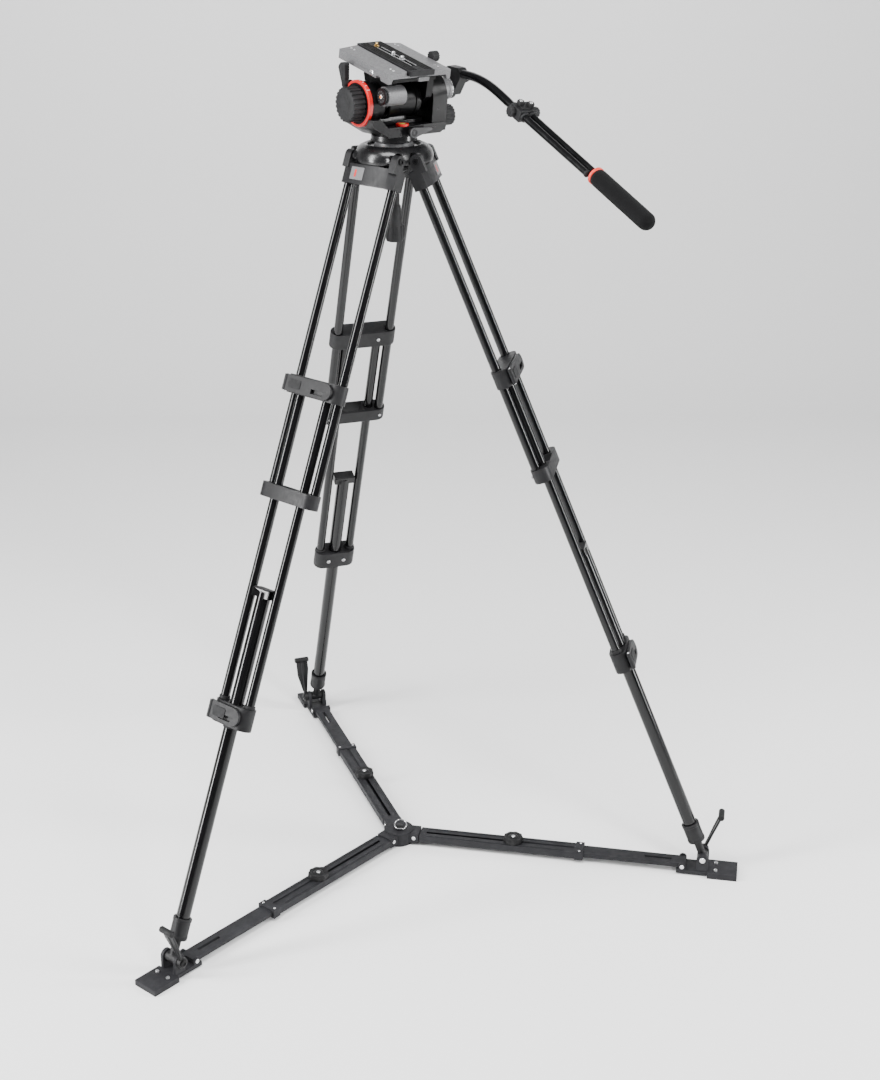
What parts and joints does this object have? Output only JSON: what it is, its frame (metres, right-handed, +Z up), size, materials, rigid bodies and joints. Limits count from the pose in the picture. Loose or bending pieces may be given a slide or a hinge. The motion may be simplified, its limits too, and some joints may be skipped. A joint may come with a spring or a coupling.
{
  "type": "tripod with fluid head",
  "caption": "Camera tripod: twin-tube telescopic legs on a floor spreader, bowl casting and a fluid pan and tilt head with a sliding plate and a telescopic pan bar.",
  "frame": {"origin": "centre of the spreader hub's flat underside, on the floor under the head", "axes": "+Z up, +X to the right and +Y away from the viewer of the front view; the legs stand at -132, -12 and 108 degrees from +X"},
  "size_m": [1.2292, 1.2657, 1.6981],
  "materials": {
    "gloss_tube": "gloss black anodised tube",
    "casting": "satin dark grey painted casting",
    "spreader": "matte dark grey painted alloy",
    "dome": "gloss near-black painted casting",
    "head_black": "satin black moulding",
    "grey_alloy": "speckled light grey paint",
    "rubber": "matte black rubberised grip",
    "foam": "closed-cell black foam"
  },
  "bodies": {
    "bowl": {"top_casting": "dome"},
    "spreader": {"spreader_hub": "spreader", "arm_1_channel": "spreader", "arm_2_channel": "spreader", "arm_3_channel": "spreader"},
    "leg_1_upper": {"leg_1_upper_frame": "gloss_tube", "leg_1_guide_collar": "casting"},
    "leg_1_mid": {"leg_1_mid_frame": "gloss_tube", "leg_1_mid_lock": "casting"},
    "leg_1_lower": {"leg_1_lower_tube": "gloss_tube"},
    "leg_1_mid_lever": {"leg_1_mid_lever": "casting"},
    "leg_1_lower_lever": {"leg_1_lower_lever": "casting"},
    "arm_1_slider": {"arm_1_bar": "spreader", "foot_1_shoe": "spreader"},
    "arm_1_knob": {"arm_1_knob": "rubber"},
    "foot_1_cup": {"foot_1_cup": "casting"},
    "foot_1_lever": {"foot_1_lever": "casting"},
    "leg_2_upper": {"leg_2_upper_frame": "gloss_tube", "leg_2_guide_collar": "casting"},
    "leg_2_mid": {"leg_2_mid_frame": "gloss_tube", "leg_2_mid_lock": "casting"},
    "leg_2_lower": {"leg_2_lower_tube": "gloss_tube"},
    "leg_2_mid_lever": {"leg_2_mid_lever": "casting"},
    "leg_2_lower_lever": {"leg_2_lower_lever": "casting"},
    "arm_2_slider": {"arm_2_bar": "spreader", "foot_2_shoe": "spreader"},
    "arm_2_knob": {"arm_2_knob": "rubber"},
    "foot_2_cup": {"foot_2_cup": "casting"},
    "foot_2_lever": {"foot_2_lever": "casting"},
    "leg_3_upper": {"leg_3_upper_frame": "gloss_tube", "leg_3_guide_collar": "casting"},
    "leg_3_mid": {"leg_3_mid_frame": "gloss_tube", "leg_3_mid_lock": "casting"},
    "leg_3_lower": {"leg_3_lower_tube": "gloss_tube"},
    "leg_3_mid_lever": {"leg_3_mid_lever": "casting"},
    "leg_3_lower_lever": {"leg_3_lower_lever": "casting"},
    "arm_3_slider": {"arm_3_bar": "spreader", "foot_3_shoe": "spreader"},
    "arm_3_knob": {"arm_3_knob": "rubber"},
    "foot_3_cup": {"foot_3_cup": "casting"},
    "foot_3_lever": {"foot_3_lever": "casting"},
    "levelling_ball": {"half_ball": "grey_alloy", "pan_base": "dome"},
    "levelling_grip": {"levelling_handle": "rubber"},
    "pan_body": {"head_housing": "head_black"},
    "tilt_body": {"tilt_cradle": "grey_alloy", "platform": "grey_alloy"},
    "camera_slide": {"camera_plate": "rubber"},
    "pan_bar_arm": {"pan_bar_clamp": "casting", "pan_bar_front": "gloss_tube", "pan_bar_joint": "casting"},
    "pan_bar_extension": {"pan_bar_rear": "gloss_tube", "pan_bar_grip": "foam"},
    "tilt_drag_knob": {"tilt_drag_knob": "rubber"},
    "pan_drag_knob": {"pan_drag_knob": "rubber"},
    "pan_lock_lever": {"pan_lock_lever": "rubber"},
    "tilt_lock_lever": {"tilt_lock_lever": "rubber"},
    "counterbalance_knob": {"counterbalance_knob": "rubber"},
    "plate_lock_knob": {"plate_lock_knob": "rubber"}
  },
  "joints": [
    {"name": "leg_1_spread", "type": "hinge", "parent": "bowl", "child": "leg_1_upper", "pos_m": [-0.03649, -0.0407, 1.497], "axis": [0.7445, -0.6676, 0], "range_deg": [0, 5]},
    {"name": "leg_2_spread", "type": "hinge", "parent": "bowl", "child": "leg_2_upper", "pos_m": [0.05349, -0.01125, 1.497], "axis": [0.2059, 0.9786, 0], "range_deg": [0, 5]},
    {"name": "leg_3_spread", "type": "hinge", "parent": "bowl", "child": "leg_3_upper", "pos_m": [-0.017, 0.05195, 1.497], "axis": [-0.9504, -0.311, 0], "range_deg": [0, 5]},
    {"name": "leg_1_mid_slide", "type": "slide", "parent": "leg_1_upper", "child": "leg_1_mid", "axis": [0.2547, 0.2841, 0.9243], "range_m": [0, 0.35]},
    {"name": "leg_1_lower_slide", "type": "slide", "parent": "leg_1_mid", "child": "leg_1_lower", "axis": [0.2547, 0.2841, 0.9243], "range_m": [0, 0.36]},
    {"name": "leg_1_mid_lock_turn", "type": "hinge", "parent": "leg_1_mid", "child": "leg_1_mid_lever", "pos_m": [-0.20949, -0.13777, 1.09035], "axis": [-0.2547, -0.2841, -0.9243], "range_deg": [0, 75]},
    {"name": "leg_1_lower_lock_turn", "type": "hinge", "parent": "leg_1_mid", "child": "leg_1_lower_lever", "pos_m": [-0.35985, -0.33693, 0.49845], "axis": [-0.2547, -0.2841, -0.9243], "range_deg": [0, 75]},
    {"name": "leg_2_mid_slide", "type": "slide", "parent": "leg_2_upper", "child": "leg_2_mid", "axis": [-0.3734, 0.0785, 0.9243], "range_m": [0, 0.35]},
    {"name": "leg_2_lower_slide", "type": "slide", "parent": "leg_2_mid", "child": "leg_2_lower", "axis": [-0.3734, 0.0785, 0.9243], "range_m": [0, 0.36]},
    {"name": "leg_2_mid_lock_turn", "type": "hinge", "parent": "leg_2_mid", "child": "leg_2_mid_lever", "pos_m": [0.22406, -0.11254, 1.09035], "axis": [0.3734, -0.0785, -0.9243], "range_deg": [0, 75]},
    {"name": "leg_2_lower_lock_turn", "type": "hinge", "parent": "leg_2_mid", "child": "leg_2_lower_lever", "pos_m": [0.47171, -0.14317, 0.49845], "axis": [0.3734, -0.0785, -0.9243], "range_deg": [0, 75]},
    {"name": "leg_3_mid_slide", "type": "slide", "parent": "leg_3_upper", "child": "leg_3_mid", "axis": [0.1187, -0.3626, 0.9243], "range_m": [0, 0.35]},
    {"name": "leg_3_lower_slide", "type": "slide", "parent": "leg_3_mid", "child": "leg_3_lower", "axis": [0.1187, -0.3626, 0.9243], "range_m": [0, 0.36]},
    {"name": "leg_3_mid_lock_turn", "type": "hinge", "parent": "leg_3_mid", "child": "leg_3_mid_lever", "pos_m": [-0.01457, 0.25031, 1.09035], "axis": [-0.1187, 0.3626, -0.9243], "range_deg": [0, 75]},
    {"name": "leg_3_lower_lock_turn", "type": "hinge", "parent": "leg_3_mid", "child": "leg_3_lower_lever", "pos_m": [-0.11186, 0.4801, 0.49845], "axis": [-0.1187, 0.3626, -0.9243], "range_deg": [0, 75]},
    {"name": "spreader_drop", "type": "slide", "parent": "bowl", "child": "spreader", "axis": [0, 0, -1], "range_m": [0, 0.0446]},
    {"name": "arm_1_slide", "type": "slide", "parent": "spreader", "child": "arm_1_slider", "axis": [0.6676, 0.7445, 0], "range_m": [0, 0.1305]},
    {"name": "foot_1_pivot", "type": "hinge", "parent": "arm_1_slider", "child": "foot_1_cup", "pos_m": [-0.43857, -0.48913, 0.0379], "axis": [0.7445, -0.6676, 0], "range_deg": [0, 5]},
    {"name": "foot_1_lever_turn", "type": "hinge", "parent": "arm_1_slider", "child": "foot_1_lever", "pos_m": [-0.42204, -0.50395, 0.0379], "axis": [0.7445, -0.6676, 0], "range_deg": [0, 35]},
    {"name": "arm_1_knob_turn", "type": "hinge", "parent": "arm_1_slider", "child": "arm_1_knob", "pos_m": [-0.16856, -0.188, 0.03], "axis": [0, 0, 1], "continuous": true},
    {"name": "arm_2_slide", "type": "slide", "parent": "spreader", "child": "arm_2_slider", "axis": [-0.9786, 0.2059, 0], "range_m": [0, 0.1305]},
    {"name": "foot_2_pivot", "type": "hinge", "parent": "arm_2_slider", "child": "foot_2_cup", "pos_m": [0.64289, -0.13524, 0.0379], "axis": [0.2059, 0.9786, 0], "range_deg": [0, 5]},
    {"name": "foot_2_lever_turn", "type": "hinge", "parent": "arm_2_slider", "child": "foot_2_lever", "pos_m": [0.64746, -0.11352, 0.0379], "axis": [0.2059, 0.9786, 0], "range_deg": [0, 35]},
    {"name": "arm_2_knob_turn", "type": "hinge", "parent": "arm_2_slider", "child": "arm_2_knob", "pos_m": [0.24709, -0.05198, 0.03], "axis": [0, 0, 1], "continuous": true},
    {"name": "arm_3_slide", "type": "slide", "parent": "spreader", "child": "arm_3_slider", "axis": [0.311, -0.9504, 0], "range_m": [0, 0.1305]},
    {"name": "foot_3_pivot", "type": "hinge", "parent": "arm_3_slider", "child": "foot_3_cup", "pos_m": [-0.20432, 0.62438, 0.0379], "axis": [-0.9504, -0.311, 0], "range_deg": [0, 5]},
    {"name": "foot_3_lever_turn", "type": "hinge", "parent": "arm_3_slider", "child": "foot_3_lever", "pos_m": [-0.22542, 0.61747, 0.0379], "axis": [-0.9504, -0.311, 0], "range_deg": [0, 35]},
    {"name": "arm_3_knob_turn", "type": "hinge", "parent": "arm_3_slider", "child": "arm_3_knob", "pos_m": [-0.07853, 0.23998, 0.03], "axis": [0, 0, 1], "continuous": true},
    {"name": "levelling", "type": "hinge", "parent": "bowl", "child": "levelling_ball", "pos_m": [0, 0, 1.516], "axis": [0.8192, 0.5736, 0], "range_deg": [-7, 7]},
    {"name": "levelling_grip_turn", "type": "hinge", "parent": "levelling_ball", "child": "levelling_grip", "pos_m": [0, 0, 1.4], "axis": [0, 0, -1], "continuous": true},
    {"name": "pan", "type": "hinge", "parent": "levelling_ball", "child": "pan_body", "pos_m": [0, 0, 1.54], "axis": [0, 0, 1], "continuous": true},
    {"name": "tilt", "type": "hinge", "parent": "pan_body", "child": "tilt_body", "pos_m": [0, 0, 1.6], "axis": [0.8192, 0.5736, 0], "range_deg": [-60, 28]},
    {"name": "tilt_drag", "type": "hinge", "parent": "pan_body", "child": "tilt_drag_knob", "pos_m": [-0.08192, -0.05736, 1.6], "axis": [-0.8192, -0.5736, 0], "range_deg": [-135, 135]},
    {"name": "pan_drag", "type": "hinge", "parent": "pan_body", "child": "pan_drag_knob", "pos_m": [0.09871, 0.05081, 1.563], "axis": [0.8192, 0.5736, 0], "range_deg": [-135, 135]},
    {"name": "pan_lock", "type": "hinge", "parent": "pan_body", "child": "pan_lock_lever", "pos_m": [0.03359, -0.03752, 1.5445], "axis": [0.5736, -0.8192, 0], "range_deg": [0, 50]},
    {"name": "tilt_lock", "type": "hinge", "parent": "pan_body", "child": "tilt_lock_lever", "pos_m": [-0.08913, -0.0209, 1.632], "axis": [-0.8192, -0.5736, 0], "range_deg": [0, 60]},
    {"name": "counterbalance", "type": "hinge", "parent": "tilt_body", "child": "counterbalance_knob", "pos_m": [-0.02056, -0.08047, 1.61672], "axis": [-0.8192, -0.5736, 0], "continuous": true},
    {"name": "plate_lock", "type": "hinge", "parent": "tilt_body", "child": "plate_lock_knob", "pos_m": [0.07547, 0.0282, 1.67551], "axis": [0.8192, 0.5736, 0], "range_deg": [0, 120]},
    {"name": "plate_slide", "type": "slide", "parent": "tilt_body", "child": "camera_slide", "axis": [-0.5625, 0.8033, 0.1959], "range_m": [-0.04, 0.04]},
    {"name": "bar_angle", "type": "hinge", "parent": "tilt_body", "child": "pan_bar_arm", "pos_m": [0.12041, 0.08432, 1.61], "axis": [0.8192, 0.5736, 0], "range_deg": [-50, 35]},
    {"name": "bar_extension", "type": "slide", "parent": "pan_bar_arm", "child": "pan_bar_extension", "axis": [0.5264, -0.7518, -0.3971], "range_m": [0, 0.15]}
  ],
  "couplings": [
    {"joint": "leg_2_spread", "follows": "leg_1_spread", "ratio": 1},
    {"joint": "leg_3_spread", "follows": "leg_1_spread", "ratio": 1},
    {"joint": "spreader_drop", "follows": "leg_1_spread", "m_per_rad": 0.5099},
    {"joint": "arm_1_slide", "follows": "leg_1_spread", "m_per_rad": 1.4938},
    {"joint": "foot_1_pivot", "follows": "leg_1_spread", "ratio": 1},
    {"joint": "arm_2_slide", "follows": "leg_1_spread", "m_per_rad": 1.4938},
    {"joint": "foot_2_pivot", "follows": "leg_1_spread", "ratio": 1},
    {"joint": "arm_3_slide", "follows": "leg_1_spread", "m_per_rad": 1.4938},
    {"joint": "foot_3_pivot", "follows": "leg_1_spread", "ratio": 1}
  ]
}
